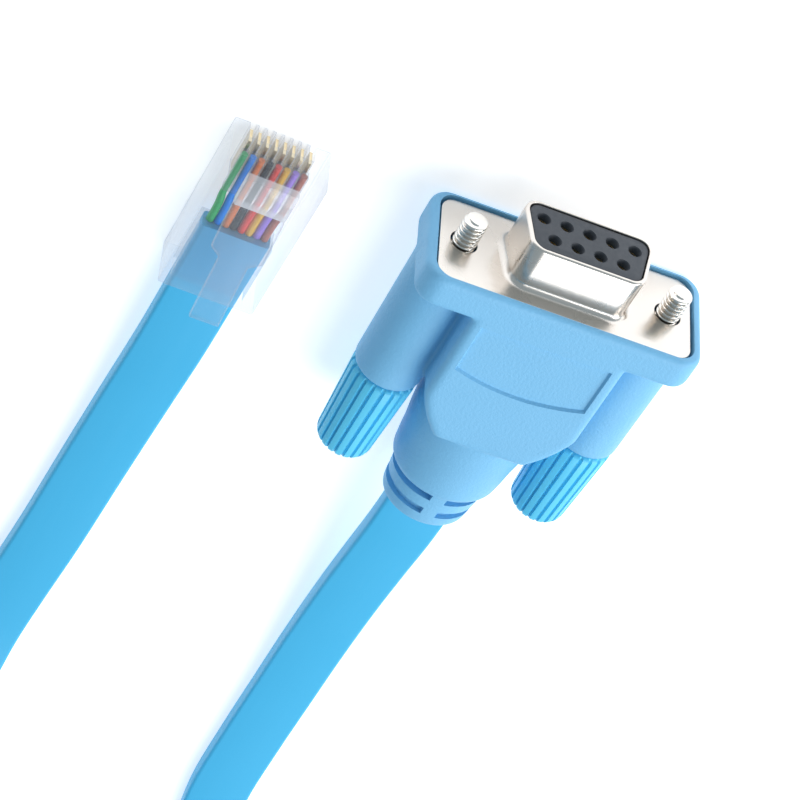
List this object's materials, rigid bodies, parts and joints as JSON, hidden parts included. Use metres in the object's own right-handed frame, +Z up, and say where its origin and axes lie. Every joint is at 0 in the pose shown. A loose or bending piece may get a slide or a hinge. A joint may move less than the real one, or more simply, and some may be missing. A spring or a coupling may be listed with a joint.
{
  "type": "console cable",
  "caption": "Flat console cable with a nine-way D socket in a moulded hood with thumbscrews at one end and a clear latched modular plug at the other.",
  "frame": {"origin": "on the surface that the cable lies on, under the middle of the D connector's box", "axes": "+X across the D connector from screw to screw, +Y out of its mating face, +Z up from the surface"},
  "size_m": [0.0777, 0.2681, 0.0146],
  "materials": {
    "moulding": "fine sandblasted moulded PVC, sky blue",
    "knob_moulding": "moulded ribbed plastic, sky blue",
    "jacket": "smooth flat cable jacket, satin sky blue",
    "nickel": "nickel plated stamped steel",
    "steel": "nickel plated steel screw",
    "slate": "dark grey moulded insulator",
    "gold": "gold plated contact",
    "clear": "clear polycarbonate",
    "tie_nylon": "black nylon tie",
    "wire_brown": "wire insulation",
    "wire_purple": "wire insulation",
    "wire_yellow_orange": "wire insulation",
    "wire_red": "wire insulation",
    "wire_black": "wire insulation",
    "wire_orange_brown": "wire insulation",
    "wire_blue": "wire insulation",
    "wire_green": "wire insulation"
  },
  "bodies": {
    "cable": {"connector_hood": "moulding", "connector_shell": "nickel", "socket_insulator": "slate", "socket_contact_1": "gold", "socket_contact_2": "gold", "socket_contact_3": "gold", "socket_contact_4": "gold", "socket_contact_5": "gold", "socket_contact_6": "gold", "socket_contact_7": "gold", "socket_contact_8": "gold", "socket_contact_9": "gold", "cable_connector_end": "jacket", "cable_plug_end": "jacket", "cable_hank": "jacket", "hank_tie_1": "tie_nylon", "hank_tie_2": "tie_nylon", "plug_housing": "clear", "plug_contact_1": "gold", "plug_contact_2": "gold", "plug_contact_3": "gold", "plug_contact_4": "gold", "plug_contact_5": "gold", "plug_contact_6": "gold", "plug_contact_7": "gold", "plug_contact_8": "gold", "plug_wire_1": "wire_green", "plug_wire_2": "wire_blue", "plug_wire_3": "wire_orange_brown", "plug_wire_4": "wire_black", "plug_wire_5": "wire_red", "plug_wire_6": "wire_yellow_orange", "plug_wire_7": "wire_purple", "plug_wire_8": "wire_brown"},
    "thumbscrew_left": {"thumbscrew_knob_left": "knob_moulding", "thumbscrew_shank_left": "steel"},
    "thumbscrew_right": {"thumbscrew_knob_right": "knob_moulding", "thumbscrew_shank_right": "steel"},
    "latch": {"plug_latch": "clear"}
  },
  "joints": [
    {"name": "thumbscrew_left_turn", "type": "hinge", "parent": "cable", "child": "thumbscrew_left", "pos_m": [-0.01249, -0.012, 0.0073], "axis": [0, 1, 0], "continuous": true},
    {"name": "thumbscrew_right_turn", "type": "hinge", "parent": "cable", "child": "thumbscrew_right", "pos_m": [0.01249, -0.012, 0.0073], "axis": [0, 1, 0], "continuous": true},
    {"name": "latch_press", "type": "hinge", "parent": "cable", "child": "latch", "pos_m": [-0.03454, 0.0113, 0.0074], "axis": [0.9997, -0.0262, 0], "range_deg": [0, 11], "stiffness_Nm_per_rad": 0.2}
  ]
}
